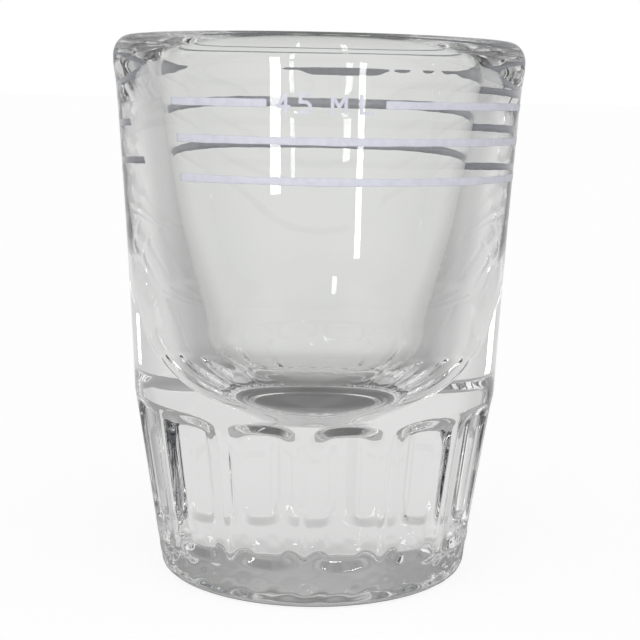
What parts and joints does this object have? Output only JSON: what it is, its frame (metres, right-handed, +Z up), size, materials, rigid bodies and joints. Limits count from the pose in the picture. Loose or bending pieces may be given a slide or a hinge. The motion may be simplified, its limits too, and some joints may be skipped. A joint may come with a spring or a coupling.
{
  "type": "whiskey tumbler",
  "caption": "Small thick-based pressed-glass whiskey tumbler with a fluted foot, a rounded lip and printed white measure lines.",
  "frame": {"origin": "centre of the foot, on the surface that the glass stands on", "axes": "+Z up along the glass's axis; -Y is the front, where the capacity mark is printed; +X to the right seen from the front"},
  "size_m": [0.0578, 0.0576, 0.0759],
  "materials": {
    "clear_glass": "clear soda-lime glass, pressed and fire-polished, with faint waviness",
    "white_enamel": "thin white screen-printed enamel, fired on, satin"
  },
  "bodies": {
    "root": {"glass_body": "clear_glass", "upper_line_left": "white_enamel", "upper_line_right": "white_enamel", "middle_line": "white_enamel", "lower_line": "white_enamel", "capacity_mark": "white_enamel"}
  },
  "joints": []
}
